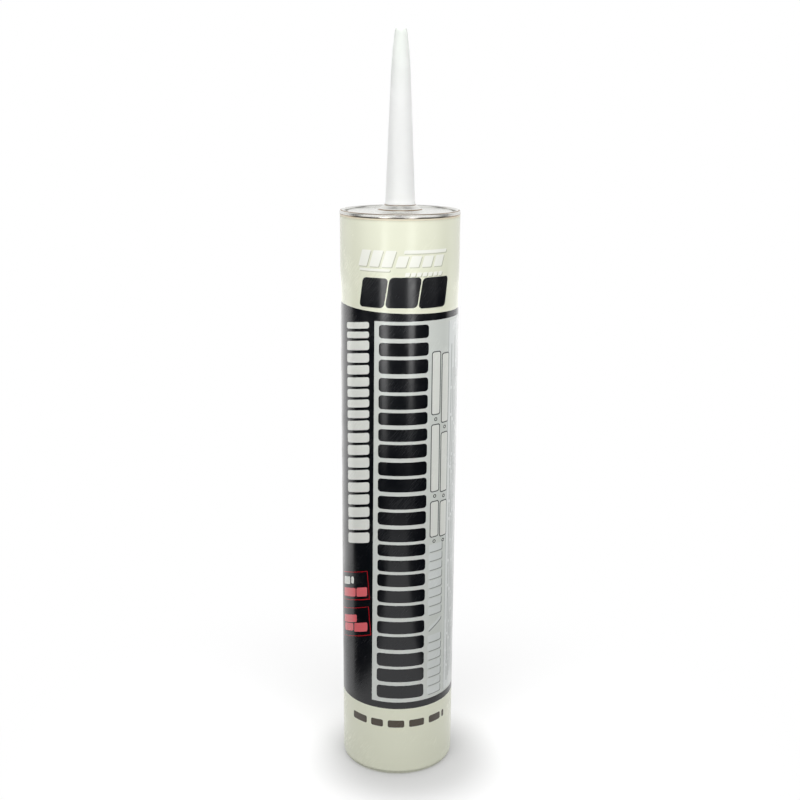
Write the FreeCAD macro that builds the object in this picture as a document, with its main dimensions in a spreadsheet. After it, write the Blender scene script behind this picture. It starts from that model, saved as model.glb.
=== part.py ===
import FreeCAD, Part
import os
import Sketcher

# Large sealant cartridge: a wound fibreboard tube with a paper label, a pressed tinplate end that
# holds a long moulded nozzle, the sealant, and the plunger that a gun pushes up the tube.
# Millimetres. The origin is the centre of the open bottom rim, +Z runs up the tube to the tip,
# and the label's front faces -Y, so its lap lies at the back, on +Y.

# Driving sizes: name, value, meaning
SIZES = [
    ("tube_radius", 32.9, "outside of the fibreboard, under the label"),
    ("board_wall", 1.9, "thickness of the wound board"),
    ("tube_length", 328.2, "from the bottom rim to the cut edge inside the seam"),
    ("curl_round", 2.8, "outside bend of the bottom edge, curled in"),
    ("curl_reach", 1.7, "how far the curled edge stands inside the bore"),
    ("cut_edge_round", 0.2, "crushed edge of the cut board"),
    ("label_film", 0.1, "thickness of the label paper"),
    ("label_lap", 9.0, "width of the lap at the back"),
    ("tin_gauge", 0.3, "thickness of the tinplate"),
    ("seam_fit", 0.05, "play between tinplate and board"),
    ("crimp_squeeze", 0.1, "how far the seam presses the board in"),
    ("crimp_run", 0.5, "bare slope of the board between label and seam"),
    ("seam_head", 1.2, "height of the rolled rim over the cut board"),
    ("seam_skirt", 3.0, "height of the rolled rim on the outside"),
    ("roll_round", 1.0, "outside bend of the rolled rim"),
    ("groove_depth", 2.2, "groove inside the rim, below the rim's top"),
    ("groove_width", 1.7, "clear width of that groove"),
    ("groove_round", 0.6, "inside bend of the groove"),
    ("panel_drop", 0.5, "end panel, below the rim's top"),
    ("panel_round", 0.6, "outside bend at the panel's edge"),
    ("boss_rise", 3.3, "height of the raised boss over the panel"),
    ("boss_top_radius", 9.1, "edge of the boss's flat top"),
    ("boss_foot_radius", 13.5, "where the boss meets the panel"),
    ("boss_round", 0.6, "outside bend at the boss's top"),
    ("boss_foot_round", 1.5, "bend at the boss's foot"),
    ("neck_radius", 8.0, "nozzle where it passes through the boss"),
    ("neck_fit", 0.05, "play between neck and boss, and between flange and boss"),
    ("flange_edge", 0.8, "thickness of the trapped flange at its rim"),
    ("collar_radius", 8.4, "swelling of the nozzle just above the boss"),
    ("collar_height", 4.2, "height of that swelling"),
    ("collar_sweep", 25.0, "hollow sweep from the collar into the cone"),
    ("cone_radius", 8.0, "foot of the nozzle's long cone"),
    ("cone_height", 69.5, "from the boss to the shoulder near the tip"),
    ("shoulder_radius", 5.2, "nozzle at the shoulder"),
    ("tip_sweep", 250.0, "swollen sweep from the shoulder to the tip"),
    ("tip_height", 23.1, "from the shoulder to the tip"),
    ("tip_radius", 2.9, "nozzle at the tip"),
    ("tip_round", 2.3, "rounding of the closed tip"),
    ("nozzle_wall", 1.3, "wall of the hollow nozzle"),
    ("tip_wall", 2.0, "closed end, cut off before use"),
    ("foil_gauge", 0.1, "thickness of the seal under the nozzle"),
    ("fill_fit", 0.05, "gap between the sealant and what holds it"),
    ("plunger_recess", 28.5, "from the bottom rim to the plunger"),
    ("plunger_length", 24.0, "length of the plunger"),
    ("plunger_fit", 0.1, "play between the plunger's lips and the bore"),
    ("lip_height", 2.2, "height of each wiping lip"),
    ("lip_relief", 0.6, "how far the skirt stands back from the lips"),
    ("lip_taper", 1.2, "height of the slope from lip to skirt"),
    ("lip_round", 0.5, "rounding of the leading lip"),
    ("skirt_wall", 1.5, "wall of the plunger's skirt"),
    ("web_thickness", 1.6, "thickness of the plunger's front"),
    ("hub_radius", 4.5, "boss in the middle of the plunger"),
    ("hub_length", 8.0, "length of that boss"),
    ("rib_count", 8, "ribs behind the plunger's front"),
    ("rib_height", 6.0, "height of a rib"),
    ("rib_thickness", 1.4, "thickness of a rib"),
    ("rib_bite", 0.4, "how far a rib runs into what it joins"),
]

# Sizes that follow from the driving ones: name, formula
DERIVED = [
    ("bore_radius", "=tube_radius - board_wall"),
    ("curl_inner", "=bore_radius - curl_reach"),
    ("label_radius", "=tube_radius + label_film"),
    ("lap_radius", "=label_radius + label_film"),
    ("lap_angle", "=label_lap / label_radius * 180 / pi"),
    ("rim_top", "=tube_length + seam_head"),
    ("skirt_bottom", "=rim_top - seam_skirt"),
    ("crimp_start", "=skirt_bottom - crimp_run"),
    ("crimp_radius", "=tube_radius - crimp_squeeze"),
    ("skirt_inner", "=crimp_radius + seam_fit"),
    ("skirt_outer", "=skirt_inner + tin_gauge"),
    ("chuck_outer", "=bore_radius - seam_fit"),
    ("chuck_inner", "=chuck_outer - tin_gauge"),
    ("groove_inner", "=chuck_inner - groove_width"),
    ("groove_floor", "=rim_top - groove_depth"),
    ("panel_top", "=rim_top - panel_drop"),
    ("boss_top", "=panel_top + boss_rise"),
    ("boss_run", "=boss_foot_radius - boss_top_radius"),
    ("boss_skew", "=tan(atan(boss_rise / boss_run) / 2)"),
    ("seat_depth", "=tin_gauge + neck_fit"),
    ("seat_radius", "=boss_top_radius - seat_depth * boss_skew"),
    ("flange_top", "=boss_top - seat_depth"),
    ("flange_bottom", "=panel_top - seat_depth"),
    ("flange_reach", "=boss_foot_radius - seat_depth * boss_skew"),
    ("flange_radius", "=flange_reach - flange_edge * boss_run / boss_rise"),
    ("cone_foot", "=boss_top + collar_height"),
    ("shoulder", "=boss_top + cone_height"),
    ("tip_top", "=shoulder + tip_height"),
    ("plunger_front", "=plunger_recess + plunger_length"),
    ("lip_radius", "=bore_radius - plunger_fit"),
    ("skirt_radius", "=lip_radius - lip_relief"),
    ("cup_radius", "=skirt_radius - skirt_wall"),
    ("web_back", "=plunger_front - web_thickness"),
    ("fill_radius", "=bore_radius - fill_fit"),
    ("fill_top", "=groove_floor - tin_gauge - fill_fit"),
    ("fill_height", "=fill_top - plunger_front"),
]

SUB_PARTS = ["fibre_tube", "label_wrap", "metal_end", "nozzle", "nozzle_seal", "sealant", "plunger"]

doc = FreeCAD.newDocument("sealant_cartridge")

# Dimension sheet
sheet = doc.addObject("Spreadsheet::Sheet", "Dimensions")
for row, (name, value, meaning) in enumerate(SIZES, start=1):
    sheet.set("A%d" % row, name)
    sheet.set("B%d" % row, str(value))
    sheet.setAlias("B%d" % row, name)
    sheet.set("C%d" % row, meaning)
for row, (name, formula) in enumerate(DERIVED, start=len(SIZES) + 1):
    sheet.set("A%d" % row, name)
    sheet.set("B%d" % row, formula)
    sheet.setAlias("B%d" % row, name)
doc.recompute()

NAMES = {entry[0] for entry in SIZES + DERIVED}
SWOLLEN = 1
HOLLOW = -1


def linked(formula):
    """Writes a formula in the sheet's names as one that other objects can read."""
    words = []
    for word in formula.split(" "):
        words.append("Dimensions." + word if word in NAMES else word)
    return " ".join(words)


def size(formula):
    """The present value of a formula in the sheet's names."""
    return float(sheet.evalExpression(linked(formula)))


def origin_feature(body, role):
    """One of a body's own origin planes or axes."""
    return next(item for item in body.Origin.OriginFeatures if item.Role == role)


def upright_sketch(body, name, corners):
    """A closed outline in the body's XZ plane. Each corner is a radius and a height formula, and a
    corner whose next side is an arc adds the arc's radius formula and SWOLLEN or HOLLOW."""
    sketch = body.newObject("Sketcher::SketchObject", name)
    sketch.AttachmentSupport = (origin_feature(body, "XZ_Plane"), [""])
    sketch.MapMode = "FlatFace"
    points = [FreeCAD.Vector(size(corner[0]), size(corner[1]), 0) for corner in corners]
    arcs = {index: corner[2:] for index, corner in enumerate(corners) if len(corner) > 2}
    count = len(points)
    for index in range(count):
        start = points[index]
        end = points[(index + 1) % count]
        if index in arcs:
            formula, side = arcs[index]
            sketch.addGeometry(Part.Arc(start, arc_middle(start, end, size(formula), side), end), False)
        else:
            sketch.addGeometry(Part.LineSegment(start, end), False)
    # an arc counts its ends anticlockwise, so a hollow one starts where its side ends
    first = [2 if index in arcs and arcs[index][1] == HOLLOW else 1 for index in range(count)]
    for index in range(count):
        following = (index + 1) % count
        sketch.addConstraint(Sketcher.Constraint("Coincident", index, 3 - first[index], following, first[following]))
    for index, corner in enumerate(corners):
        pin_corner(sketch, (index, first[index]), "DistanceX", corner[0], -2)
        pin_corner(sketch, (index, first[index]), "DistanceY", corner[1], -1)
    for index, (formula, side) in arcs.items():
        number = sketch.addConstraint(Sketcher.Constraint("Radius", index, size(formula)))
        bind(sketch, number, "sweep_%d" % index, formula)
    return sketch


def arc_middle(start, end, radius, side):
    """The middle of an arc between two points of an outline that climbs, swollen to its right or hollow."""
    chord = end.sub(start)
    sag = radius - (radius ** 2 - chord.Length ** 2 / 4) ** 0.5
    outward = FreeCAD.Vector(chord.y, -chord.x, 0)
    outward.normalize()
    return start.add(end).multiply(0.5).add(outward.multiply(side * sag))


def pin_corner(sketch, corner, kind, formula, axis):
    """Ties one coordinate of a corner to its formula, or puts the corner on the axis where that is 0."""
    index, end = corner
    if formula == "0":
        sketch.addConstraint(Sketcher.Constraint("PointOnObject", index, end, axis))
        return
    number = sketch.addConstraint(Sketcher.Constraint(kind, -1, 1, index, end, size(formula)))
    bind(sketch, number, "%s_%d" % ("radius" if kind == "DistanceX" else "height", index), formula)


def bind(sketch, number, label, formula):
    """Names a constraint and ties its value to a formula."""
    sketch.renameConstraint(number, label)
    sketch.setExpression("Constraints." + label, linked(formula))


def turned(label, corners):
    """A body turned about Z from one closed outline."""
    body = doc.addObject("PartDesign::Body", label)
    body.Label = label
    sketch = upright_sketch(body, label + "_outline", corners)
    spin = body.newObject("PartDesign::Revolution", label + "_turned")
    spin.Profile = sketch
    spin.ReferenceAxis = (sketch, ["V_Axis"])
    spin.Angle = 360
    sketch.Visibility = False
    doc.recompute()
    return body


def rounded(body, name, formula, corners):
    """Rounds the circular edges that lie at the given radius and height formulas."""
    base = body.Tip
    places = [(size(radius), size(height)) for radius, height in corners]
    chosen = []
    for number, edge in enumerate(base.Shape.Edges, start=1):
        if not isinstance(edge.Curve, Part.Circle):
            continue
        for radius, height in places:
            same_radius = abs(edge.Curve.Radius - radius) < 1e-6
            same_height = abs(edge.Curve.Center.z - height) < 1e-6
            if same_radius and same_height:
                chosen.append("Edge%d" % number)
    fillet = body.newObject("PartDesign::Fillet", name)
    fillet.Base = (base, chosen)
    fillet.setExpression("Radius", linked(formula))
    doc.recompute()
    return fillet


def cylinder(name, radius, height, start):
    """A plain cylinder on Z whose radius, height and start are formulas."""
    solid = doc.addObject("Part::Cylinder", name)
    solid.setExpression("Radius", linked(radius))
    solid.setExpression("Height", linked(height))
    solid.setExpression("Placement.Base.z", linked(start))
    return solid


# Fibreboard tube, open at the bottom where its edge is curled in, its top edge squeezed by the seam
fibre_tube = turned("fibre_tube", [
    ("curl_inner", "0"),
    ("tube_radius", "0"),
    ("tube_radius", "crimp_start"),
    ("crimp_radius", "skirt_bottom"),
    ("crimp_radius", "tube_length"),
    ("bore_radius", "tube_length"),
    ("bore_radius", "board_wall"),
    ("curl_inner", "board_wall"),
])
rounded(fibre_tube, "curl_outside", "curl_round", [("tube_radius", "0")])
rounded(fibre_tube, "curl_inside", "curl_round - board_wall", [("bore_radius", "board_wall")])
rounded(fibre_tube, "cut_edges", "cut_edge_round", [("curl_inner", "0"), ("curl_inner", "board_wall")])

# Label: a paper sleeve from the curl to the seam, with a second thickness where it laps itself at
# the back
label_height = "crimp_start - curl_round"
sleeve_outside = cylinder("sleeve_outside", "label_radius", label_height, "curl_round")
sleeve_inside = cylinder("sleeve_inside", "tube_radius", label_height, "curl_round")
sleeve = doc.addObject("Part::Cut", "sleeve")
sleeve.Base = sleeve_outside
sleeve.Tool = sleeve_inside
lap_wedge = cylinder("lap_wedge", "lap_radius", label_height, "curl_round")
lap_wedge.setExpression("Angle", linked("lap_angle"))
lap_wedge.setExpression("Placement.Rotation.Angle", linked("90 - lap_angle / 2"))
lap_core = cylinder("lap_core", "label_radius", label_height, "curl_round")
lap = doc.addObject("Part::Cut", "lap")
lap.Base = lap_wedge
lap.Tool = lap_core
label_wrap = doc.addObject("Part::Fuse", "label_wrap")
label_wrap.Label = "label_wrap"
label_wrap.Base = sleeve
label_wrap.Tool = lap

# Tinplate end: one pressing from the hole in the boss, over the panel, the groove and the rolled
# rim, down the outside, and back along its underside
metal_end = turned("metal_end", [
    ("neck_radius + neck_fit", "boss_top"),
    ("boss_top_radius", "boss_top"),
    ("boss_foot_radius", "panel_top"),
    ("groove_inner", "panel_top"),
    ("groove_inner", "groove_floor"),
    ("chuck_inner", "groove_floor"),
    ("chuck_inner", "rim_top"),
    ("skirt_outer", "rim_top"),
    ("skirt_outer", "skirt_bottom"),
    ("skirt_inner", "skirt_bottom"),
    ("skirt_inner", "rim_top - tin_gauge"),
    ("chuck_outer", "rim_top - tin_gauge"),
    ("chuck_outer", "groove_floor - tin_gauge"),
    ("groove_inner - tin_gauge", "groove_floor - tin_gauge"),
    ("groove_inner - tin_gauge", "panel_top - tin_gauge"),
    ("boss_foot_radius - tin_gauge * boss_skew", "panel_top - tin_gauge"),
    ("boss_top_radius - tin_gauge * boss_skew", "boss_top - tin_gauge"),
    ("neck_radius + neck_fit", "boss_top - tin_gauge"),
])
rounded(metal_end, "rim_outside_bends", "roll_round",
        [("chuck_inner", "rim_top"), ("skirt_outer", "rim_top")])
rounded(metal_end, "rim_inside_bends", "roll_round - tin_gauge",
        [("skirt_inner", "rim_top - tin_gauge"), ("chuck_outer", "rim_top - tin_gauge")])
rounded(metal_end, "groove_inside_bends", "groove_round",
        [("groove_inner", "groove_floor"), ("chuck_inner", "groove_floor")])
rounded(metal_end, "groove_outside_bends", "groove_round + tin_gauge",
        [("chuck_outer", "groove_floor - tin_gauge"), ("groove_inner - tin_gauge", "groove_floor - tin_gauge")])
rounded(metal_end, "panel_edge_bend", "panel_round", [("groove_inner", "panel_top")])
rounded(metal_end, "panel_under_bend", "panel_round - tin_gauge",
        [("groove_inner - tin_gauge", "panel_top - tin_gauge")])
rounded(metal_end, "boss_foot_bend", "boss_foot_round", [("boss_foot_radius", "panel_top")])
rounded(metal_end, "boss_top_bend", "boss_round", [("boss_top_radius", "boss_top")])

# Nozzle: a hollow cone, closed at the tip, whose flange is trapped under the boss
nozzle = turned("nozzle", [
    ("cone_radius - nozzle_wall", "flange_bottom"),
    ("flange_radius", "flange_bottom"),
    ("flange_radius", "flange_bottom + flange_edge"),
    ("seat_radius", "flange_top"),
    ("neck_radius", "flange_top"),
    ("neck_radius", "boss_top"),
    ("collar_radius", "boss_top + neck_fit", "collar_sweep", HOLLOW),
    ("cone_radius", "cone_foot"),
    ("shoulder_radius", "shoulder", "tip_sweep", SWOLLEN),
    ("tip_radius", "tip_top"),
    ("0", "tip_top"),
    ("0", "tip_top - tip_wall"),
    ("tip_radius - nozzle_wall", "tip_top - tip_wall"),
    ("shoulder_radius - nozzle_wall", "shoulder"),
    ("cone_radius - nozzle_wall", "cone_foot"),
])
rounded(nozzle, "tip_rounding", "tip_round", [("tip_radius", "tip_top")])

# Foil seal bonded under the nozzle's flange
nozzle_seal = cylinder("nozzle_seal", "flange_radius", "foil_gauge", "flange_bottom - foil_gauge")
nozzle_seal.Label = "nozzle_seal"

# Sealant, from the plunger's front to just below the tinplate end
sealant = cylinder("sealant", "fill_radius", "fill_height", "plunger_front")
sealant.Label = "sealant"

# Plunger: a cup, open to the bottom rim, with a wiping lip at each end of its skirt
plunger = turned("plunger", [
    ("cup_radius", "plunger_recess"),
    ("lip_radius", "plunger_recess"),
    ("lip_radius", "plunger_recess + lip_height"),
    ("skirt_radius", "plunger_recess + lip_height + lip_taper"),
    ("skirt_radius", "plunger_front - lip_height - lip_taper"),
    ("lip_radius", "plunger_front - lip_height"),
    ("lip_radius", "plunger_front"),
    ("0", "plunger_front"),
    ("0", "web_back - hub_length"),
    ("hub_radius", "web_back - hub_length"),
    ("hub_radius", "web_back"),
    ("cup_radius", "web_back"),
])
rounded(plunger, "leading_lip", "lip_round", [("lip_radius", "plunger_front")])
rib_outline = upright_sketch(plunger, "rib_outline", [
    ("hub_radius - rib_bite", "web_back - rib_height"),
    ("cup_radius + rib_bite", "web_back - rib_height"),
    ("cup_radius + rib_bite", "web_back + rib_bite"),
    ("hub_radius - rib_bite", "web_back + rib_bite"),
])
rib = plunger.newObject("PartDesign::Pad", "rib")
rib.Profile = rib_outline
rib.SideType = "Symmetric"
rib.setExpression("Length", linked("rib_thickness"))
rib_outline.Visibility = False
doc.recompute()
ribs = plunger.newObject("PartDesign::PolarPattern", "ribs")
ribs.Originals = [rib]
ribs.Axis = (origin_feature(plunger, "Z_Axis"), [""])
ribs.Angle = 360
ribs.setExpression("Occurrences", linked("rib_count"))
plunger.Tip = ribs
doc.recompute()

# Every object has to be sound before anything is written
for item in doc.Objects:
    if "Invalid" in item.State or "Error" in item.State:
        raise RuntimeError("%s did not compute: %s" % (item.Name, item.State))

os.makedirs("parts", exist_ok=True)
for label in SUB_PARTS:
    item = doc.getObjectsByLabel(label)[0]
    shape = item.Shape
    if shape.isNull() or not shape.isValid() or len(shape.Solids) != 1:
        raise RuntimeError("%s has no single valid solid" % label)
    shape.exportStep("parts/%s.step" % label)
    box = shape.optimalBoundingBox()
    print("%-12s %9.1f mm3, z %.2f to %.2f, x to %.2f" % (label, shape.Volume, box.ZMin, box.ZMax, box.XMax))
print("sealant holds %.0f ml" % (sealant.Shape.Volume / 1000))
print("plunger travel %.2f mm" % size("fill_height"))
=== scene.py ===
# %% [markdown]
# # A large sealant cartridge
#
# The object is a quart size sealant cartridge: a wound board tube in a varnished paper label, with a
# pressed tinplate end that holds a long moulded nozzle. It stands on its open end. Its solids come from a
# CAD program and stay as they are. This file gives them their finishes, builds the printed label round
# them, and sets up the studio and the camera. One Blender unit is a metre, so sizes in millimetres are
# multiplied by MM.

# %% Tools and the frame
import math

import bmesh
import bpy
from mathutils import Matrix, Vector


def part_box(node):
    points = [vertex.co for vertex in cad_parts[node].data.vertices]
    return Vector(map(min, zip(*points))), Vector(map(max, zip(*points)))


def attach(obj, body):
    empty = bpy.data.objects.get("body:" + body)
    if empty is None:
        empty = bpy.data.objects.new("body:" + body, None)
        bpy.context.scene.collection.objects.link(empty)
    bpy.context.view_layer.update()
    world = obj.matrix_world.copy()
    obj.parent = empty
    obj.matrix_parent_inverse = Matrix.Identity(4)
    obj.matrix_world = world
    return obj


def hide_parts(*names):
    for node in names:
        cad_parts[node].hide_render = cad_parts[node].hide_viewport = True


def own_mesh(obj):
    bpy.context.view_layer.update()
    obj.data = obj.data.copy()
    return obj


MM = 0.001
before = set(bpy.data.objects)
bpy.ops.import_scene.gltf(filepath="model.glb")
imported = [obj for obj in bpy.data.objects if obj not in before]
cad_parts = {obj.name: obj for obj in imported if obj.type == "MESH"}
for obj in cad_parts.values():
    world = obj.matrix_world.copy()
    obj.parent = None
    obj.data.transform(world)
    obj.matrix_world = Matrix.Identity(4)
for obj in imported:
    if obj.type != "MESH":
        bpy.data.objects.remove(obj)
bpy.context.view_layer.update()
print("CAD nodes:", sorted(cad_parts))

# %% [markdown]
# ## Colours and nodes
#
# Colours are written as they look on a screen, in hex. Blender's shaders work with linear light, so one
# function turns the first into the second. A second function adds a shader node and links it, which keeps
# each material below down to the few lines that matter. A material could also be clicked together in the
# node editor, but a script shows every value.

# %% A colour from its hex code


def srgb(code):
    """A hex colour as linear red, green, blue and alpha."""
    channels = [int(code[start:start + 2], 16) / 255 for start in (1, 3, 5)]
    linear = [c / 12.92 if c <= 0.04045 else ((c + 0.055) / 1.055) ** 2.4 for c in channels]
    return (*linear, 1.0)


print("mid grey in linear light:", round(srgb("#808080")[0], 3))

# %% A node with its settings and links


def add_node(tree, kind, inputs=None, **settings):
    """Adds a node. Inputs are given by name or number, as a value or as the socket that feeds them."""
    node = tree.nodes.new(kind)
    for name, value in settings.items():
        setattr(node, name, value)
    for name, value in (inputs or {}).items():
        if isinstance(value, bpy.types.NodeSocket):
            tree.links.new(value, node.inputs[name])
        else:
            node.inputs[name].default_value = value
    return node


def start_material(name, colour, roughness, **values):
    """A material with one principled shader, whose flat values are set on its own sockets."""
    material = bpy.data.materials.new(name)
    material.use_nodes = True
    tree = material.node_tree
    shader = tree.nodes["Principled BSDF"]
    shader.inputs["Base Color"].default_value = srgb(colour)
    shader.inputs["Roughness"].default_value = roughness
    for socket, value in values.items():
        shader.inputs[socket.replace("_", " ")].default_value = value
    return material, tree, shader


# %% [markdown]
# ## The camera
#
# The photograph was taken from a little above the top of the tube, looking down by about 15 degrees, from
# quite close: the label's bands curve more and more towards the bottom. The camera stands where a fit to
# the tube's edges and those curves puts it. A small upward shift frames the object without tilting the
# camera further, and a third of a degree of roll follows the photograph's slight lean.

# %% Camera place and lens
CAMERA_AT = Vector((0.62, -644.02, 384.65)) * MM
CAMERA_DOWN = math.radians(15.546)
CAMERA_ROLL = math.radians(0.326)
LENS = 52.241
SHIFT_UP = 0.035

camera_data = bpy.data.cameras.new("camera")
camera_data.lens = LENS
camera_data.sensor_width = 36
camera_data.shift_y = SHIFT_UP
camera_data.clip_start = 0.05
camera = bpy.data.objects.new("camera", camera_data)
bpy.context.scene.collection.objects.link(camera)
turn = Matrix.Rotation(math.pi / 2 - CAMERA_DOWN, 4, "X") @ Matrix.Rotation(CAMERA_ROLL, 4, "Z")
camera.matrix_world = Matrix.Translation(CAMERA_AT) @ turn
bpy.context.scene.camera = camera
bpy.context.scene.view_settings.view_transform = "Standard"
print("camera looks down by", round(math.degrees(CAMERA_DOWN), 2), "degrees")

# %% [markdown]
# ## The room
#
# Pack shots like this are made in front of a white background, with black cards that shape the reflections
# and keep the black print deep. The world does the part above the horizon. It is white to the camera. For
# reflections it follows a ramp round the room: a dark slot in front where the camera stands, bright soft
# boxes on both sides of it, dark to the left and right, white behind, and a slightly dimmer ceiling. Its
# soft light grows from nothing in front to full strength behind.

# %% World
# soft light in front and behind, and the Y directions between which it grows
ROOM_FRONT = 0.0
ROOM_BACK = 1.5
ROOM_GROWS = (-0.4, 0.5)
# brightness of the ceiling in reflections, and the Z directions between which it takes over
CEILING = 0.8
CEILING_GROWS = (0.6, 0.8)
# share of the way round from the front to the back, and the brightness there in reflections
ROOM_RAMP = [(0.0, 0.3), (0.03, 0.3), (0.05, 1.2), (0.43, 1.2), (0.46, 0.15), (0.60, 0.15), (0.64, 1.0)]

world = bpy.data.worlds.new("white room")
bpy.context.scene.world = world
world.use_nodes = True
tree = world.node_tree
tree.nodes.clear()
rays = add_node(tree, "ShaderNodeLightPath")
direction = add_node(tree, "ShaderNodeTexCoord")
axes = add_node(tree, "ShaderNodeSeparateXYZ", {0: direction.outputs["Generated"]})
side = add_node(tree, "ShaderNodeMath", {0: axes.outputs["X"]}, operation="ABSOLUTE")
front = add_node(tree, "ShaderNodeMath", {0: axes.outputs["Y"], 1: -1.0}, operation="MULTIPLY")
angle = add_node(tree, "ShaderNodeMath", {0: side.outputs[0], 1: front.outputs[0]}, operation="ARCTAN2")
way_round = add_node(tree, "ShaderNodeMath", {0: angle.outputs[0], 1: math.pi}, operation="DIVIDE")
around = add_node(tree, "ShaderNodeValToRGB", {"Fac": way_round.outputs[0]})
for place, (share, level) in enumerate(ROOM_RAMP):
    stops = around.color_ramp.elements
    stop = stops[place] if place < 2 else stops.new(share)
    stop.position = share
    stop.color = (level, level, level, 1)
overhead = add_node(tree, "ShaderNodeMapRange", {
    "Value": axes.outputs["Z"], "From Min": CEILING_GROWS[0], "From Max": CEILING_GROWS[1],
    "To Min": 1.0, "To Max": CEILING})
mirrored = add_node(tree, "ShaderNodeMath", {0: around.outputs["Color"], 1: overhead.outputs[0]},
                    operation="MULTIPLY")
ambient = add_node(tree, "ShaderNodeMapRange", {
    "Value": axes.outputs["Y"], "From Min": ROOM_GROWS[0], "From Max": ROOM_GROWS[1],
    "To Min": ROOM_FRONT, "To Max": ROOM_BACK})
room = add_node(tree, "ShaderNodeBackground", {"Color": srgb("#ffffff"), "Strength": ambient.outputs[0]})
mirror = add_node(tree, "ShaderNodeBackground", {"Color": srgb("#ffffff"), "Strength": mirrored.outputs[0]})
white = add_node(tree, "ShaderNodeBackground", {"Color": srgb("#ffffff"), "Strength": 1.0})
seen = add_node(tree, "ShaderNodeMath", {
    0: rays.outputs["Is Camera Ray"], 1: rays.outputs["Is Transmission Ray"]}, operation="MAXIMUM")
soft_or_mirror = add_node(tree, "ShaderNodeMixShader", {
    0: rays.outputs["Is Glossy Ray"], 1: room.outputs[0], 2: mirror.outputs[0]})
surface = add_node(tree, "ShaderNodeMixShader", {
    0: seen.outputs[0], 1: soft_or_mirror.outputs[0], 2: white.outputs[0]})
add_node(tree, "ShaderNodeOutputWorld", {"Surface": surface.outputs[0]})
print("world nodes:", len(tree.nodes))

# %% [markdown]
# ## Floor and cards
#
# The floor is a white sheet. Close to the object it takes the object's soft shadow, partly real and partly
# painted: painted shade darkens it where the foot meets it and in a round patch just in front of the foot.
# Further out it turns into plain white, so that no horizon shows. It is clear from below, and the round
# patch that the tube stands on glows with painted light to the inside of the tube, so that a look from below
# finds the plunger. Black cards lie on it in front and at both sides, where only reflections meet them. The
# strip of white that they leave in front of the object is what lifts the black print near the foot. Two
# glowing cards stand low beside the camera, and give the tube its two soft upright highlights. Two more stand
# behind it, to the left and the right, and draw the pale line down both edges of the black print.

# %% A flat sheet for the set


def make_sheet(name, corners, material):
    """A flat sheet of the set, from its corners in metres in order round its edge. A level one faces up."""
    bm = bmesh.new()
    bmesh.ops.contextual_create(bm, geom=[bm.verts.new(corner) for corner in corners])
    bm.normal_update()
    bmesh.ops.reverse_faces(bm, faces=[face for face in bm.faces if face.normal.z < -0.5])
    mesh = bpy.data.meshes.new(name)
    bm.to_mesh(mesh)
    bm.free()
    sheet = bpy.data.objects.new(name, mesh)
    mesh.materials.append(material)
    bpy.context.scene.collection.objects.link(sheet)
    return sheet


# %% Floor
FLOOR_DROP = 0.05 * MM
FLOOR_HALF = 20
# where the lit paper begins and ends to turn into plain white, and the share of plain white close by
FLOOR_NEAR = 0.07
FLOOR_FAR = 0.25
WHITE_SHARE = 0.35
# the lit paper's grey to the eye, and the grey that it throws back on the object
SEEN_GREY = "#d8d8d8"
BOUNCED_GREY = "#707070"
# shade where the foot meets the paper: how far it reaches, and what is left of the light
CONTACT_REACH = 0.03
CONTACT_LEVEL = 0.84
# round shade in front of the foot: its middle, where it starts and ends to fade, and what is left of the light
SHADE_AT = (0.007, -0.014, 0)
SHADE_NEAR = 0.028
SHADE_FAR = 0.068
SHADE_LEVEL = 0.72
# bright patch inside the tube: its radius and its strength
BORE_PATCH = 32.8 * MM
BORE_LIGHT = 0.9

paper_floor = bpy.data.materials.new("white paper floor")
paper_floor.use_nodes = True
tree = paper_floor.node_tree
tree.nodes.clear()
rays = add_node(tree, "ShaderNodeLightPath")
place = add_node(tree, "ShaderNodeTexCoord")
distance = add_node(tree, "ShaderNodeVectorMath", {0: place.outputs["Object"]}, operation="LENGTH")
share = add_node(tree, "ShaderNodeMapRange", {
    "Value": distance.outputs["Value"], "From Min": FLOOR_NEAR, "From Max": FLOOR_FAR,
    "To Min": WHITE_SHARE, "To Max": 1.0}, interpolation_type="SMOOTHSTEP")
# painted shade on the floor: ambient occlusion at the foot and a round patch in front of it darken both its
# lit grey and its plain white
hidden = add_node(tree, "ShaderNodeAmbientOcclusion", {"Distance": CONTACT_REACH}, samples=8)
contact = add_node(tree, "ShaderNodeMapRange", {
    "Value": hidden.outputs["AO"], "From Min": 0.5, "From Max": 1.0, "To Min": CONTACT_LEVEL, "To Max": 1.0})
beside = add_node(tree, "ShaderNodeVectorMath", {0: place.outputs["Object"], 1: SHADE_AT},
                  operation="DISTANCE")
shade = add_node(tree, "ShaderNodeMapRange", {
    "Value": beside.outputs["Value"], "From Min": SHADE_NEAR, "From Max": SHADE_FAR, "To Min": SHADE_LEVEL,
    "To Max": 1.0}, interpolation_type="SMOOTHSTEP")
shaded = add_node(tree, "ShaderNodeMath", {0: contact.outputs[0], 1: shade.outputs[0]}, operation="MULTIPLY")
lit_level = add_node(tree, "ShaderNodeMath", {0: shaded.outputs[0], 1: srgb(SEEN_GREY)[0]},
                     operation="MULTIPLY")
lit = add_node(tree, "ShaderNodeBsdfDiffuse", {"Color": lit_level.outputs[0]})
dull = add_node(tree, "ShaderNodeBsdfDiffuse", {"Color": srgb(BOUNCED_GREY)})
plain = add_node(tree, "ShaderNodeEmission", {"Color": srgb("#ffffff"), "Strength": shaded.outputs[0]})
shown = add_node(tree, "ShaderNodeMixShader", {0: share.outputs[0], 1: lit.outputs[0], 2: plain.outputs[0]})
camera_or_mirror = add_node(tree, "ShaderNodeMath", {
    0: rays.outputs["Is Camera Ray"], 1: rays.outputs["Is Glossy Ray"]}, operation="MAXIMUM")
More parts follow.
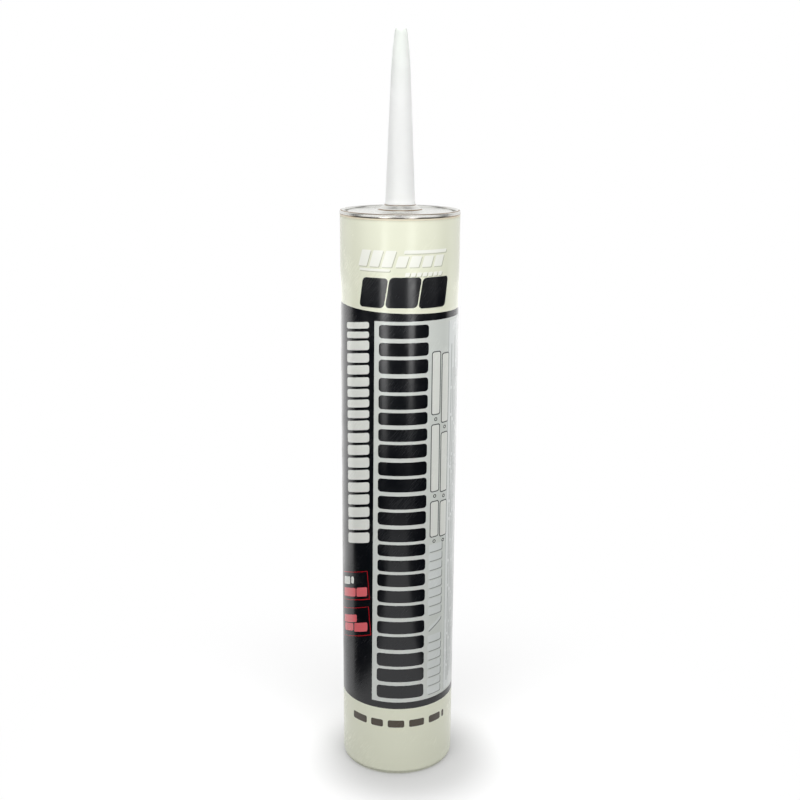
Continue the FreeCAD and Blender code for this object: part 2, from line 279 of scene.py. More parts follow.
seen = add_node(tree, "ShaderNodeMath", {
    0: camera_or_mirror.outputs[0], 1: rays.outputs["Is Transmission Ray"]}, operation="MAXIMUM")
# painted light: inside the tube the floor glows for soft light, which lights the bore
in_tube = add_node(tree, "ShaderNodeMath", {0: distance.outputs["Value"], 1: BORE_PATCH},
                   operation="LESS_THAN")
bore_light = add_node(tree, "ShaderNodeEmission", {"Color": srgb("#ffffff"), "Strength": BORE_LIGHT})
soft = add_node(tree, "ShaderNodeMixShader", {
    0: in_tube.outputs[0], 1: dull.outputs[0], 2: bore_light.outputs[0]})
from_above = add_node(tree, "ShaderNodeMixShader", {
    0: seen.outputs[0], 1: soft.outputs[0], 2: shown.outputs[0]})
sides = add_node(tree, "ShaderNodeNewGeometry")
clear = add_node(tree, "ShaderNodeBsdfTransparent")
surface = add_node(tree, "ShaderNodeMixShader", {
    0: sides.outputs["Backfacing"], 1: from_above.outputs[0], 2: clear.outputs[0]})
add_node(tree, "ShaderNodeOutputMaterial", {"Surface": surface.outputs[0]})
corners = [(x * FLOOR_HALF, y * FLOOR_HALF, -FLOOR_DROP) for x, y in ((-1, -1), (1, -1), (1, 1), (-1, 1))]
floor = make_sheet("floor", corners, paper_floor)

# %% Black cards and glowing cards
CARD_HEIGHT = 1 * MM
BLACK_CARDS = {
    # corners on the floor, in metres
    "front_card": [(-2.0, -0.43), (2.0, -0.43), (2.0, -2.0), (-2.0, -2.0)],
    "left_card": [(-0.122, 0.0), (-0.122, -0.43), (-4.5, -0.80), (-4.5, 1.2)],
    "right_card": [(0.12, 0.0), (0.12, -0.43), (4.5, -0.80), (4.5, 1.2)],
}
GLOWING_CARDS = [
    # name, degrees from the camera's side, distance, half its width at the foot and at the top, lowest and
    # highest point in metres, height of full strength, and its strength at the foot and from there on
    ("left_glow", -28.0, 0.60, 0.05, 0.085, 0.03, 0.25, 0.16, 0.5, 5.2),
    ("right_glow", 22.5, 0.60, 0.025, 0.085, 0.055, 0.25, 0.16, 0.3, 5.0),
    ("left_edge_glow", -136.0, 0.30, 0.19, 0.19, 0.0, 0.25, 0.25, 1.4, 2.0),
    ("right_edge_glow", 137.0, 0.30, 0.17, 0.17, 0.0, 0.25, 0.25, 1.2, 1.7),
]

# flocked card swallows nearly all light, so its reflection stays black
card_black = start_material("black flocked card", "#020202", 1.0, Specular_IOR_Level=0.0)[0]
cards = []
for name, corners in BLACK_CARDS.items():
    cards.append(make_sheet(name, [(x, y, CARD_HEIGHT) for x, y in corners], card_black))
for name, azimuth, distance, half_low, half_high, low, high, full, faint, strong in GLOWING_CARDS:
    glow = bpy.data.materials.new("lit white card " + name)
    glow.use_nodes = True
    tree = glow.node_tree
    tree.nodes.clear()
    place = add_node(tree, "ShaderNodeTexCoord")
    axes = add_node(tree, "ShaderNodeSeparateXYZ", {0: place.outputs["Object"]})
    strength = add_node(tree, "ShaderNodeMapRange", {
        "Value": axes.outputs["Z"], "From Min": low, "From Max": full, "To Min": faint, "To Max": strong})
    shine = add_node(tree, "ShaderNodeEmission", {"Color": srgb("#ffffff"), "Strength": strength.outputs[0]})
    add_node(tree, "ShaderNodeOutputMaterial", {"Surface": shine.outputs[0]})
    angle = math.radians(azimuth)
    middle = Vector((math.sin(angle), -math.cos(angle), 0)) * distance
    across = Vector((math.cos(angle), math.sin(angle), 0))
    foot, top = Vector((0, 0, low)), Vector((0, 0, high))
    corners = [middle - across * half_low + foot, middle + across * half_low + foot,
               middle + across * half_high + top, middle - across * half_high + top]
    cards.append(make_sheet(name, corners, glow))
for card in cards:
    card.visible_camera = False
    card.visible_diffuse = False
    card.visible_shadow = False
    card.visible_transmission = False
print("set pieces:", floor.name, [card.name for card in cards])

# %% [markdown]
# ## Lamps
#
# Two soft boxes stand in front, to the left and the right of the camera, and a large soft lamp hangs above
# and in front. It lights the top more than the foot, as in the photograph, where the cream paper falls to
# about seven tenths of its brightness at the bottom. The lamps give soft light only. What shines in the
# varnish and the tinplate is the room and the cards.

# %% Lamps
LAMPS = [
    # name, azimuth from the camera's side, distance, height, width, length, watts
    ("left_box", -50, 1.2, 0.75, 0.8, 0.8, 3.3),
    ("right_box", 50, 1.2, 0.75, 0.8, 0.8, 3.5),
    ("top_box", 0, 0.55, 1.15, 1.0, 0.6, 16.2),
]
AIM = Vector((0, 0, 0.25))

for name, azimuth, distance, height, width, length, watts in LAMPS:
    lamp_data = bpy.data.lights.new(name, "AREA")
    lamp_data.shape = "RECTANGLE"
    lamp_data.size = width
    lamp_data.size_y = length
    lamp_data.energy = watts
    lamp = bpy.data.objects.new(name, lamp_data)
    angle = math.radians(azimuth)
    lamp.location = (distance * math.sin(angle), -distance * math.cos(angle), height)
    lamp.rotation_mode = "QUATERNION"
    lamp.rotation_quaternion = (AIM - lamp.location).to_track_quat("-Z", "Y")
    lamp.visible_glossy = False
    bpy.context.scene.collection.objects.link(lamp)
print("lamps:", len(LAMPS))

# %% [markdown]
# ## How a piece is finished
#
# Every new piece ends the same way: doubles merged, faces turned outwards, edges sharper than a set angle
# kept crisp, and the piece tied to the body that it moves with.

# %% From a bmesh to a piece
SHARP = math.radians(35)
TINY = 0.0005 * MM


def finish_piece(bm, name, materials, body, replaced=()):
    """Cleans a bmesh, makes it a piece at the world's origin and ties it to its body."""
    bmesh.ops.remove_doubles(bm, verts=bm.verts, dist=TINY)
    bmesh.ops.recalc_face_normals(bm, faces=bm.faces)
    for face in bm.faces:
        face.smooth = True
    for edge in bm.edges:
        edge.smooth = len(edge.link_faces) == 2 and edge.calc_face_angle() < SHARP
    mesh = bpy.data.meshes.new(name)
    bm.to_mesh(mesh)
    bm.free()
    piece = bpy.data.objects.new(name, mesh)
    bpy.context.scene.collection.objects.link(piece)
    for material in materials:
        mesh.materials.append(material)
    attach(piece, body)
    if replaced:
        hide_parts(*replaced)
    print("%-16s %6d faces" % (name, len(mesh.polygons)))
    return piece


# %% [markdown]
# ## Varnished print
#
# The label is coated paper, printed in a few flat inks and then varnished. The eye gets full colour with a
# soft gloss on top, broken up by faint slanting scuffs from handling. Two pale inks lie duller, so that the
# highlights don't wash them out. All inks share that varnish, so one function makes them from a colour. The
# scuffs follow the surface: the angle round the tube is turned into millimetres of label, and a stretched
# noise runs over that flat sheet. Real scuffs are finer than a tenth of a millimetre. They are drawn
# several times as coarse, so that they show in the render.

# %% The label's size, from the solids
label_low, label_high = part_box("label_wrap")
LABEL_RADIUS = label_high.x
LABEL_BOTTOM = label_low.z
# the paper's top edge is tucked up close under the rolled rim
TUCKED = 0.4 * MM
LABEL_TOP = label_high.z + TUCKED
PAPER = 0.1 * MM
DEGREE = LABEL_RADIUS * math.radians(1)
print("label: radius %.2f mm, %.1f mm high, one degree is %.3f mm"
      % (LABEL_RADIUS / MM, (LABEL_TOP - LABEL_BOTTOM) / MM, DEGREE / MM))

# %% Inks under varnish
SCUFF_WIDTH = 0.5 * MM
SCUFF_LENGTH = 7.0 * MM
SCUFF_SLANT = math.radians(52)
SCUFF_DEPTH = 0.02 * MM
PATCH_SIZE = 22 * MM
# how far scuffs change the roughness from end to end
GLOSS_SPREAD = 0.2


def varnished(name, colour, roughness=0.22):
    """Flat ink on coated paper under varnish, with scuffs that change the gloss a little."""
    material, tree, shader = start_material(name, colour, roughness, IOR=1.5)
    place = add_node(tree, "ShaderNodeTexCoord")
    axes = add_node(tree, "ShaderNodeSeparateXYZ", {0: place.outputs["Object"]})
    front = add_node(tree, "ShaderNodeMath", {0: axes.outputs["Y"], 1: -1.0}, operation="MULTIPLY")
    angle = add_node(tree, "ShaderNodeMath", {0: axes.outputs["X"], 1: front.outputs[0]}, operation="ARCTAN2")
    along = add_node(tree, "ShaderNodeMath", {0: angle.outputs[0], 1: LABEL_RADIUS}, operation="MULTIPLY")
    flat = add_node(tree, "ShaderNodeCombineXYZ", {"X": along.outputs[0], "Y": axes.outputs["Z"]})
    slanted = add_node(tree, "ShaderNodeMapping", {
        "Vector": flat.outputs[0], "Rotation": (0, 0, SCUFF_SLANT), "Scale": (SCUFF_LENGTH, SCUFF_WIDTH, 1)},
        vector_type="TEXTURE")
    scuffs = add_node(tree, "ShaderNodeTexNoise", {
        "Vector": slanted.outputs[0], "Scale": 1.0, "Detail": 3.0, "Roughness": 0.6})
    patches = add_node(tree, "ShaderNodeTexNoise", {
        "Vector": flat.outputs[0], "Scale": 1 / PATCH_SIZE, "Detail": 2.0})
    wear = add_node(tree, "ShaderNodeMath", {0: scuffs.outputs["Fac"], 1: patches.outputs["Fac"]},
                    operation="MULTIPLY")
    gloss = add_node(tree, "ShaderNodeMapRange", {
        "Value": wear.outputs[0], "From Min": 0.12, "From Max": 0.4,
        "To Min": roughness - GLOSS_SPREAD / 2, "To Max": roughness + GLOSS_SPREAD / 2})
    tree.links.new(gloss.outputs[0], shader.inputs["Roughness"])
    bump = add_node(tree, "ShaderNodeBump", {
        "Height": scuffs.outputs["Fac"], "Strength": 0.25, "Distance": SCUFF_DEPTH})
    tree.links.new(bump.outputs[0], shader.inputs["Normal"])
    return material


cream = varnished("cream ink on coated paper", "#e6e8d3")
black = varnished("black ink on coated paper", "#0b0d11")
silver = varnished("silver grey ink on coated paper", "#d1d5d0")
white_ink = varnished("white ink on coated paper", "#e2e4de")
pale_silver = varnished("pale silver ink on coated paper", "#d9dddb")
shade_grey = varnished("shade grey ink on coated paper", "#8d918e")
shade_cream = varnished("shade cream ink on coated paper", "#bfc0ab")
outline_grey = varnished("dark grey ink on coated paper", "#3c3f40")
brown_ink = varnished("dark brown ink on coated paper", "#453c30")
red_ink = varnished("red ink on coated paper", "#a8121c")
pink_ink = varnished("pink ink on coated paper", "#e06a70")
print("inks so far:", sum("ink on coated paper" in material.name for material in bpy.data.materials))

# %% [markdown]
# ## Flat shapes and how they get onto the tube
#
# A label is printed flat and then wrapped, and the script does the same. Each shape starts as a grid of one
# face in the XZ plane, with X as millimetres round the label and Z as height. It is scaled, its corners are
# rounded with a vertex bevel, and it is cut into narrow columns so that it can bend. Then it gets a
# thickness and is wrapped round the tube. Drawing the print in an image would be quicker, but it would blur
# close up.

# %% Cutting
# width of a column in degrees
COLUMN = 1.5


def cut(bm, point, normal, faces=None):
    """Cuts faces of a flat shape along a plane."""
    chosen = list(bm.faces) if faces is None else faces
    edges = {edge for face in chosen for edge in face.edges}
    verts = {vert for face in chosen for vert in face.verts}
    bmesh.ops.bisect_plane(bm, geom=[*verts, *edges, *chosen], dist=TINY, plane_co=point, plane_no=normal)


def cut_columns(bm):
    """Cuts a flat shape into columns that are narrow enough to look round on the tube."""
    width = COLUMN * DEGREE
    low = min(vert.co.x for vert in bm.verts)
    high = max(vert.co.x for vert in bm.verts)
    for number in range(math.ceil(low / width), math.floor(high / width) + 1):
        cut(bm, (number * width, 0, 0), (1, 0, 0))


# %% One block of ink


def flat_block(left, right, bottom, top, rounding=0.0, rise=0.0, lean=0.0):
    """A flat block from its edges, in degrees from the front and in mm of height. Its right end stands
    higher than its left by rise, and its top leans to the right by lean, in mm."""
    bm = bmesh.new()
    upright = Matrix.Rotation(math.pi / 2, 4, "X")
    bmesh.ops.create_grid(bm, x_segments=1, y_segments=1, size=0.5, matrix=upright)
    width = (right - left) * DEGREE
    height = (top - bottom) * MM
    bmesh.ops.scale(bm, vec=(width, 1, height), verts=bm.verts)
    if rounding:
        bmesh.ops.bevel(bm, geom=list(bm.verts), offset=rounding * MM, affect="VERTICES", segments=4,
                        profile=0.5, material=-1)
    shear = Matrix(((1, 0, lean * MM / height, 0), (0, 1, 0, 0), (rise * MM / width, 0, 1, 0), (0, 0, 0, 1)))
    middle = Vector(((left + right) / 2 * DEGREE, 0, (bottom + top) / 2 * MM))
    bmesh.ops.transform(bm, matrix=Matrix.Translation(middle) @ shear, verts=bm.verts)
    return bm


def pour(source, target):
    """Adds one bmesh to another and frees it."""
    carrier = bpy.data.meshes.new("carrier")
    source.to_mesh(carrier)
    source.free()
    target.from_mesh(carrier)
    bpy.data.meshes.remove(carrier)


# %% Thickness and wrapping
# how deep ink is sunk into the paper, and how high a layer stands over it, all in mm: a shade or an outline is
# low, and the shape that it belongs to is high
SUNK = 0.02
LOW_INK = 0.015
HIGH_INK = 0.03


def thicken(bm, top):
    """Turns a flat sheet into a thin slab, top mm proud of the label and sunk a little in it."""
    bmesh.ops.solidify(bm, geom=list(bm.faces), thickness=(top + SUNK) * MM)
    front = min(vert.co.y for vert in bm.verts)
    bmesh.ops.translate(bm, vec=(0, -top * MM - front, 0), verts=bm.verts)


def wrap(bm):
    """Bends a flat slab round the tube: X becomes the angle from the front, and depth becomes the radius."""
    for vert in bm.verts:
        angle = vert.co.x / LABEL_RADIUS
        reach = LABEL_RADIUS - vert.co.y
        vert.co = (reach * math.sin(angle), -reach * math.cos(angle), vert.co.z)


def print_shapes(shapes, name, ink, top=HIGH_INK):
    """Wraps flat shapes round the tube as one piece of print in one ink."""
    whole = bmesh.new()
    for shape in shapes:
        cut_columns(shape)
        thicken(shape, top)
        pour(shape, whole)
    wrap(whole)
    return finish_piece(whole, name, [ink], "cartridge")


# %% [markdown]
# ## The label sheet
#
# The label is cream at the top and the bottom, with a wide black field between them and a silver panel in
# it. It is one sheet of paper, so it is one piece: the flat sheet is cut along the borders of its fields,
# each face takes the ink of its field, and then the sheet is bent. The black field's upper border isn't
# quite level, because the label was wound on with a slight skew. The two ends overlap at the back, and the
# outer one lies one paper thickness higher.

# %% Fields of the label
# heights in mm and places in degrees from the front
CREAM_BELOW = 43.7
PANEL = {"left_low": -27.1, "left_high": -23.9, "right": 81.0, "bottom": 48.0, "top": 273.3}
# angles between which the panel's slanted left border lies
PANEL_LEFT_ZONE = (-32, -19)
BACK_PANEL = {"start": 99.0, "bottom": 60.0, "top": 262.0}
# the black field's upper border: angle and height
SKEW = [(-188, 280.3), (-90, 280.3), (-65, 279.6), (-44, 278.8), (-20, 278.1),
        (0, 277.7), (25, 277.3), (60, 277.0), (188, 277.0)]
# how far each end runs past the middle of the back, and the slope that the outer one climbs
LAP = 7.8
LAP_CLIMB = 1.5


def skewed_border(angle):
    """Height in mm of the black field's upper border at an angle from the front."""
    for (left, low), (right, high) in zip(SKEW, SKEW[1:]):
        if left <= angle <= right:
            return low + (high - low) * (angle - left) / (right - left)
    return SKEW[-1][1]


def panel_left(height):
    """Angle of the silver panel's left border at a height in mm."""
    share = (height - PANEL["bottom"]) / (PANEL["top"] - PANEL["bottom"])
    return PANEL["left_low"] + (PANEL["left_high"] - PANEL["left_low"]) * share


# %% The flat sheet, cut along its fields
sheet = flat_block(-180 - LAP, 180 + LAP, LABEL_BOTTOM / MM, LABEL_TOP / MM)
cut_columns(sheet)
for height in (CREAM_BELOW, PANEL["bottom"], PANEL["top"], BACK_PANEL["bottom"], BACK_PANEL["top"]):
    cut(sheet, (0, 0, height * MM), (0, 0, 1))
low_end = Vector((PANEL["left_low"] * DEGREE, 0, PANEL["bottom"] * MM))
high_end = Vector((PANEL["left_high"] * DEGREE, 0, PANEL["top"] * MM))
border = high_end - low_end
near = []
for face in sheet.faces:
    middle = face.calc_center_median()
    beside_border = PANEL_LEFT_ZONE[0] < middle.x / DEGREE < PANEL_LEFT_ZONE[1]
    if beside_border and PANEL["bottom"] * MM < middle.z < PANEL["top"] * MM:
        near.append(face)
cut(sheet, low_end, (border.z, 0, -border.x), near)
for (left, low), (right, high) in zip(SKEW, SKEW[1:]):
    here = [face for face in sheet.faces if left < face.calc_center_median().x / DEGREE < right
            and face.calc_center_median().z > PANEL["top"] * MM]
    cut(sheet, (left * DEGREE, 0, low * MM), ((low - high) * MM, 0, (right - left) * DEGREE), here)
print("flat sheet:", len(sheet.faces), "faces")

# %% Each face takes the ink of its field
CREAM, BLACK, SILVER = range(3)


def ink_at(angle, height):
    """The ink of the label at an angle in degrees and a height in mm."""
    if height < CREAM_BELOW or height > skewed_border(angle):
        return CREAM
    in_front = panel_left(height) < angle < PANEL["right"] and PANEL["bottom"] < height < PANEL["top"]
    behind = abs(angle) > BACK_PANEL["start"] and BACK_PANEL["bottom"] < height < BACK_PANEL["top"]
    return SILVER if in_front or behind else BLACK


for face in sheet.faces:
    middle = face.calc_center_median()
    face.material_index = ink_at(middle.x / DEGREE, middle.z / MM)
bmesh.ops.solidify(sheet, geom=list(sheet.faces), thickness=PAPER)
front = min(vert.co.y for vert in sheet.verts)
bmesh.ops.translate(sheet, vec=(0, -front, 0), verts=sheet.verts)
for vert in sheet.verts:
    past = vert.co.x / DEGREE - (180 - LAP) + LAP_CLIMB
    vert.co.y -= PAPER * min(max(past / LAP_CLIMB, 0), 1)
wrap(sheet)
finish_piece(sheet, "label_sheet", [cream, black, silver], "cartridge", ["label_wrap"])

# %% [markdown]
# ## The large print
#
# The widest element is a tall stack of heavy black bars on the silver panel, and beside it a slimmer stack
# of white bars on the black field, which climb to the right. The bars stand in pairs. A pair fills a box of
# a given height but for a narrow gap, and each box is a row in a list.

# %% Bars in pairs


def bar_pair(left, right, bottom, top, gap, rounding, rise=0.0):
    """Two equal bars that fill a box, from its edges in degrees and mm, but for a gap in mm between them."""
    thick = (top - bottom - gap) / 2
    return [flat_block(left, right, bottom, bottom + thick, rounding, rise),
            flat_block(left, right, top - thick, top, rounding, rise)]


# %% Black bars on the panel
BLACK_BOXES = [
    # left and right in degrees, bottom and top in mm
    (-21.6, 27.4, 50.5, 69.3), (-21.6, 27.4, 71.0, 89.8), (-21.2, 27.6, 91.6, 109.2),
    (-21.0, 27.8, 111.0, 128.2), (-20.8, 27.8, 130.0, 146.2), (-20.6, 28.0, 148.0, 165.6),
    (-20.4, 28.2, 167.4, 185.2), (-20.2, 28.2, 187.0, 204.9), (-20.0, 28.4, 206.7, 223.0),
    (-19.6, 28.6, 234.6, 252.5), (-19.4, 28.8, 254.4, 271.4),
]
BLACK_SINGLE = (-19.8, 28.4, 224.9, 232.7)
BLACK_GAP = 2.4
BLACK_ROUNDING = 1.8
black_bars = [flat_block(*BLACK_SINGLE, BLACK_ROUNDING)]
for left, right, bottom, top in BLACK_BOXES:
    black_bars += bar_pair(left, right, bottom, top, BLACK_GAP, BLACK_ROUNDING)
print_shapes(black_bars, "bars_black", black)

# %% White bars on the black field
WHITE_BOXES = [
    # bottom and top at the middle and rise, in mm
    (143.7, 157.9, 4.7), (159.4, 172.8, 4.5), (174.3, 187.3, 4.2), (188.8, 201.9, 3.9), (203.4, 216.0, 3.7),
    (217.5, 228.0, 3.4), (235.5, 247.4, 3.0), (248.9, 261.0, 2.7), (262.5, 271.3, 2.4),
]
WHITE_SINGLE = {"bottom": 229.5, "top": 234.0, "rise": 3.2}
WHITE_LEFT = -60.4
WHITE_RIGHT = -29.6
WHITE_GAP = 1.7
WHITE_ROUNDING = 1.3
white_bars = [flat_block(WHITE_LEFT, WHITE_RIGHT, rounding=WHITE_ROUNDING, **WHITE_SINGLE)]
for bottom, top, rise in WHITE_BOXES:
    white_bars += bar_pair(WHITE_LEFT, WHITE_RIGHT, bottom, top, WHITE_GAP, WHITE_ROUNDING, rise)
print_shapes(white_bars, "bars_white_slanted", white_ink)

# %% [markdown]
# ## The print at the top
#
# Three heavy black blocks stand over the field's border. Above them runs a row of pale slanted blocks, with
# a thin line over its right part and one under its left, and a row of small blocks under its right part.
# Each has a shade along its lower and right edges, which makes it look raised: a second block in a darker
# ink, set a little lower and further right, with the pale one printed over it.

# %% Blocks over the border
HEAVY_BLOCKS = [
    # left and right in degrees, bottom and top in mm
    (-38.6, -12.6, 280.4, 296.4), (-11.4, 18.8, 280.6, 296.9), (19.9, 49.6, 280.2, 296.6),
]
HEAVY_ROUNDING = 2.2
HEAVY_LEAN = 2.6
heavy = [flat_block(*block, rounding=HEAVY_ROUNDING, lean=HEAVY_LEAN) for block in HEAVY_BLOCKS]
print_shapes(heavy, "blocks_black", black)

# %% Pale slanted blocks with their shade
THIN_LINES = [
    # left and right in degrees, bottom, top and lean in mm
    (4.0, 48.5, 309.4, 311.2, 0.6),
    (-40.5, -9.0, 299.9, 301.2, 0.5),
]
# the first three tall blocks reach past the upper line, and the others end below it
TALL = {"count": 7, "first": -39.5, "pitch": 12.3, "width": 9.6, "bottom": 302.3, "lean": 0.32}
TALL_TOPS = (311.0, 311.0, 311.0, 308.2, 308.2, 308.2, 308.2)
SMALL = {"count": 7, "first": 5.0, "pitch": 5.6, "width": 4.3, "bottom": 297.3, "top": 299.5, "lean": 0.6}
PALE_ROUNDING = 0.5
SHADE_RIGHT = 0.75
SHADE_DOWN = 0.45

pale_blocks = list(THIN_LINES)
for number, top in enumerate(TALL_TOPS):
    left = TALL["first"] + number * TALL["pitch"]
    lean = (top - TALL["bottom"]) * TALL["lean"]
    pale_blocks.append((left, left + TALL["width"], TALL["bottom"], top, lean))
for number in range(SMALL["count"]):
    left = SMALL["first"] + number * SMALL["pitch"]
    pale_blocks.append((left, left + SMALL["width"], SMALL["bottom"], SMALL["top"], SMALL["lean"]))
shades = []
bars = []
for left, right, bottom, top, lean in pale_blocks:
    shades.append(flat_block(left + SHADE_RIGHT, right + SHADE_RIGHT, bottom - SHADE_DOWN, top - SHADE_DOWN,
                             PALE_ROUNDING, lean=lean))
    bars.append(flat_block(left, right, bottom, top, PALE_ROUNDING, lean=lean))
print_shapes(shades, "shades_cream", shade_cream, LOW_INK)
pale_ink = varnished("pale cream ink on coated paper", "#f0f1e8", 0.36)
print_shapes(bars, "bars_pale", pale_ink)

# %% [markdown]
# ## The columns beside the bars
#
# Right of the black bars run two columns of small white bars with dark outlines, parted by ring dots, and
# below them a column of pale blocks with a grey shade. An outline is again a larger block in a darker ink
# below the white one.

# %% White bars with dark outlines
COLUMNS = [
    # middle of the column in degrees, and the bottoms and tops of its bars in mm
    (38.0, [(149.2, 169.8), (176.2, 214.6), (220.9, 255.6)]),
    (50.4, [(148.2, 168.8), (174.9, 209.0), (215.4, 254.0)]),
]
BAR_HALF = 4.6
BAR_ROUNDING = 1.0
OUTLINE = 0.55
OUTLINE_ROUNDING = 1.4
# a ring dot below each bar: half its width in degrees, half its height and its rounding in mm
DOT_DROP = 3.0
DOT = (1.9, 1.05, 1.0)
DOT_HOLE = (0.9, 0.5, 0.45)


def dot_block(middle, height, half_width, half_height, rounding):
    """A small round block, from its middle in degrees and in mm of height."""
    return flat_block(middle - half_width, middle + half_width, height - half_height, height + half_height,
                      rounding)


grown = OUTLINE * MM / DEGREE
outlines = []
fills = []
for middle, spans in COLUMNS:
    for bottom, top in spans:
        outlines.append(flat_block(middle - BAR_HALF - grown, middle + BAR_HALF + grown, bottom - OUTLINE,
                                   top + OUTLINE, OUTLINE_ROUNDING))
        fills.append(flat_block(middle - BAR_HALF, middle + BAR_HALF, bottom, top, BAR_ROUNDING))
        outlines.append(dot_block(middle, bottom - DOT_DROP, *DOT))
        fills.append(dot_block(middle, bottom - DOT_DROP, *DOT_HOLE))
print_shapes(outlines, "outlines_grey", outline_grey, LOW_INK)
print_shapes(fills, "bars_white", white_ink)

# %% Pale blocks with a grey shade
BLOCK_LEFT = 31.6
BLOCK_RIGHT = 49.0
BLOCK_HEIGHT = 4.4
BLOCK_PITCH = 5.55
BLOCK_ROUNDING = 0.9
# two runs of blocks: height of the first, and their number, with one slanted block between the runs
BLOCK_RUNS = [(50.6, 7), (101.2, 8)]
SLANTED = {"bottom": 93.9, "top": 95.9, "rise": 6.0}
# the shade stands out to the right by degrees and below by mm, and its top lies lower than the block's
GREY_RIGHT = 1.0
GREY_DOWN = 0.5
GREY_HEIGHT = 4.0

shades = []
blocks = []
for first, count in BLOCK_RUNS:
    for number in range(count):
        row = first + number * BLOCK_PITCH
        shades.append(flat_block(BLOCK_LEFT + GREY_RIGHT, BLOCK_RIGHT + GREY_RIGHT, row - GREY_DOWN,
                                 row + GREY_HEIGHT, BLOCK_ROUNDING))
        blocks.append(flat_block(BLOCK_LEFT, BLOCK_RIGHT, row, row + BLOCK_HEIGHT, BLOCK_ROUNDING))
shades.append(flat_block(BLOCK_LEFT + GREY_RIGHT, BLOCK_RIGHT + GREY_RIGHT, SLANTED["bottom"] - GREY_DOWN,
                         SLANTED["top"] - GREY_DOWN, BLOCK_ROUNDING, SLANTED["rise"]))
blocks.append(flat_block(BLOCK_LEFT, BLOCK_RIGHT, rounding=BLOCK_ROUNDING, **SLANTED))
print_shapes(shades, "shades_grey", shade_grey, LOW_INK)
print_shapes(blocks, "blocks_pale", pale_silver)

# %% [markdown]
# ## The side strip, the tilted frames and the line at the foot
#
# The silver panel ends in a paler strip with rows of very small print, which at this size reads as fine
# grey dashes. On the black field to the left sit two tilted red frames with plain bars in them. At the
# foot, a line of short dark brown bars stands on the cream.

# %% Side strip
# left and right in degrees, bottom and top in mm
STRIP = (55.6, 80.4, 49.4, 271.6)
STRIP_LINES = [(54.9, 55.5, 49.4, 271.6), (77.4, 77.9, 52.0, 268.0)]
STRIP_INK = 0.01
# each column of dashes starts a little higher than the last, and its dashes take five lengths in turn
DASH_COLUMNS = (60.4, 64.2, 68.0, 71.8)
DASH_WIDTH = 1.5
DASH_ROUNDING = 0.3
DASH_GAP = 1.6
DASH_BOTTOM = 54.0
DASH_STAGGER = 2.0
DASH_END = 240
DASH_SHORTEST = 9.0
DASH_STEP = 5.0
DASH_INK = 0.025

print_shapes([flat_block(*STRIP)], "strip_pale", pale_silver, STRIP_INK)
dashes = [flat_block(*line) for line in STRIP_LINES]
for column, angle in enumerate(DASH_COLUMNS):
    height = DASH_BOTTOM + DASH_STAGGER * column
    number = 0
    while height < DASH_END:
        length = DASH_SHORTEST + DASH_STEP * ((number * 7 + column * 3) % 5)
        dashes.append(flat_block(angle, angle + DASH_WIDTH, height, height + length, DASH_ROUNDING))
        height += length + DASH_GAP
        number += 1
dash_grey = varnished("mid grey ink on coated paper", "#9ea2a0", 0.34)
print_shapes(dashes, "dashes_grey", dash_grey, DASH_INK)

# %% Tilted frames
FRAMES = [
    # left and right in degrees, bottom and top at the middle and rise, in mm
    (-76.0, -30.6, 107.1, 124.3, 8.4),
    (-76.5, -29.2, 84.3, 101.9, 9.6),
]
FRAME_LINE = 0.45
FRAME_LEAN = -1.6
FIELD_INK = 0.022
line = FRAME_LINE * MM / DEGREE
frames = []
fields = []
for left, right, bottom, top, rise in FRAMES:
    frames.append(flat_block(left, right, bottom, top, rise=rise, lean=FRAME_LEAN))
    fields.append(flat_block(left + line, right - line, bottom + FRAME_LINE, top - FRAME_LINE, rise=rise,
                             lean=FRAME_LEAN))
print_shapes(frames, "frames_red", red_ink, LOW_INK)
print_shapes(fields, "frame_fields", black, FIELD_INK)

# %% Bars in the frames
FRAME_BARS = {
    # left and right in degrees, bottom and top at the middle, rounding and rise in mm
    "frame_bars_white": (white_ink, [(-72.0, -57.5, 114.6, 119.4, 0.9, 2.7),
                                     (-55.5, -50.6, 117.4, 121.6, 0.9, 0.9)]),
    "frame_bars_pink": (pink_ink, [(-72.5, -48.0, 107.8, 113.2, 0.9, 4.6),
                                   (-46.6, -32.4, 111.6, 117.2, 0.9, 2.6),
                                   (-72.5, -46.4, 91.6, 96.4, 0.9, 5.4),
                                   (-71.0, -52.0, 85.8, 90.6, 0.9, 3.9),
                                   (-50.4, -32.2, 89.2, 94.8, 0.9, 3.7)]),
}
for name, (ink, rows) in FRAME_BARS.items():
    print_shapes([flat_block(*row) for row in rows], name, ink)

# %% The line at the foot
FOOT_BARS = [(-52.0, -33.2), (-28.0, -14.8), (-9.8, 7.2), (12.2, 28.6), (34.4, 50.0), (53.0, 56.4)]
FOOT_BOTTOM = 31.6
FOOT_TOP = 36.2
FOOT_ROUNDING = 1.0
foot_bars = [flat_block(left, right, FOOT_BOTTOM, FOOT_TOP, FOOT_ROUNDING) for left, right in FOOT_BARS]
print_shapes(foot_bars, "foot_bars", brown_ink)

# %% [markdown]
# ## The back of the label
#
# The photograph doesn't show the back. Such labels carry directions there, in small print on a silver
# panel. It is set as plain grey lines in two columns, on either side of the lap, with a dark bar over each.

# %% Lines on the back panel
# a column's inner and outer edge in degrees from the front, and how much shorter its head is
INNER = 180 - 12
OUTER = BACK_PANEL["start"] + 8
HEAD_SHORTER = 18
HEAD_SPAN = (250.0, 256.0)
HEAD_ROUNDING = 1.2
LINE_COUNT = 56
LINES_FROM = 244.0
LINE_PITCH = 3.2
LINE_HEIGHT = 1.1
LINE_ROUNDING = 0.4
# lines to a paragraph, with the empty one after it
PARAGRAPH = 9

